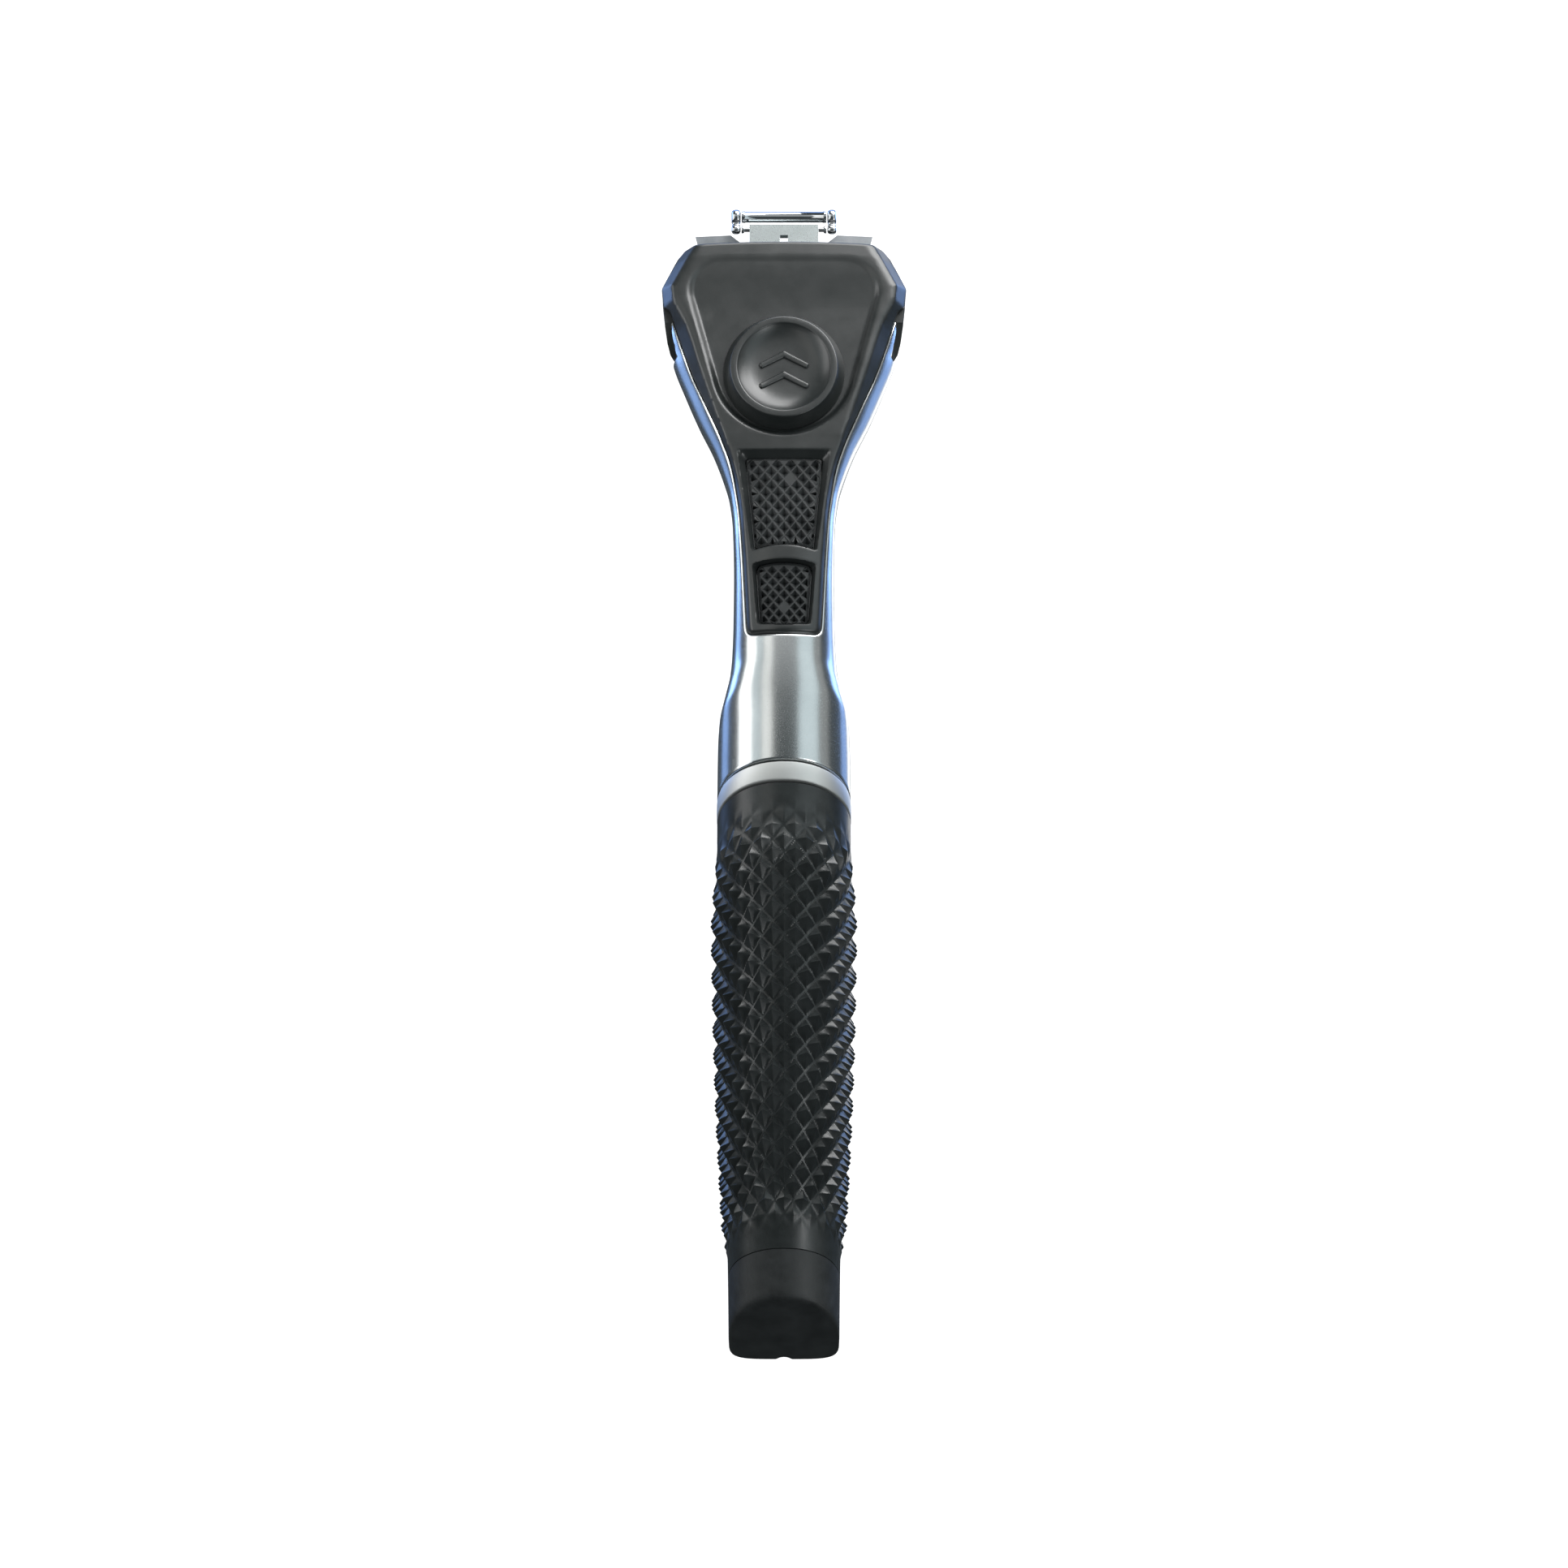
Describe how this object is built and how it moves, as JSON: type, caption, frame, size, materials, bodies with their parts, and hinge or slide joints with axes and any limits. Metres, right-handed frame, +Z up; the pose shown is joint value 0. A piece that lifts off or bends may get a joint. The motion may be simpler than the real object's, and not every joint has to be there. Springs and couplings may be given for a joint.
{
  "type": "cartridge razor handle",
  "caption": "Razor handle without its cartridge: bent satin metal body, pyramid-textured rubber grip, black cover with rubber pads, sliding release button and tilting docking loop.",
  "frame": {"origin": "on the table, under the middle of the handle's length and width", "axes": "+Y along the handle towards the head, +Z up from the table on the button side, +X to the right seen from above with the head away from the viewer"},
  "size_m": [0.0294, 0.1388, 0.0175],
  "materials": {
    "satin_steel": "satin, bead blasted",
    "light_steel": "satin with bright edges",
    "plate_steel": "dull sheet steel",
    "chrome": "polished",
    "spring_steel": "drawn wire and strip",
    "cover_plastic": "fine satin grain",
    "housing_plastic": "satin",
    "wing_plastic": "satin",
    "core_plastic": "moulded, unpolished",
    "black_rubber": "matt with faint mottling"
  },
  "bodies": {
    "handle": {"handle_body": "satin_steel", "collar_ring": "light_steel", "rubber_grip": "black_rubber", "grip_core": "core_plastic", "balance_weight": "plate_steel", "core_screw": "plate_steel", "tang_seal_ring": "black_rubber", "end_cap": "black_rubber", "head_cover": "cover_plastic", "upper_grip_pad": "black_rubber", "lower_grip_pad": "black_rubber", "lower_housing": "housing_plastic", "tongue_plate": "plate_steel", "centring_leaf": "spring_steel", "cover_screw_left": "plate_steel", "cover_screw_right": "plate_steel", "tongue_screw_left": "plate_steel", "tongue_screw_right": "plate_steel", "return_spring_left": "spring_steel", "return_spring_right": "spring_steel"},
    "release": {"release_button": "cover_plastic", "slider_carriage": "housing_plastic", "ejector_fork": "wing_plastic"},
    "dock": {"docking_bar": "chrome", "docking_pin": "chrome", "docking_link_left": "chrome", "docking_link_right": "chrome"}
  },
  "joints": [
    {"name": "release_slide", "type": "slide", "parent": "handle", "child": "release", "axis": [0, 0.9732, -0.23], "range_m": [0, 0.003], "stiffness_N_per_m": 400, "springref_m": -0.002, "deforming": ["return_spring_left", "return_spring_right"]},
    {"name": "dock_pivot", "type": "hinge", "parent": "handle", "child": "dock", "pos_m": [0, 0.06693, 0.00305], "axis": [1, 0, 0], "range_deg": [-20, 20], "stiffness_Nm_per_rad": 0.02}
  ]
}
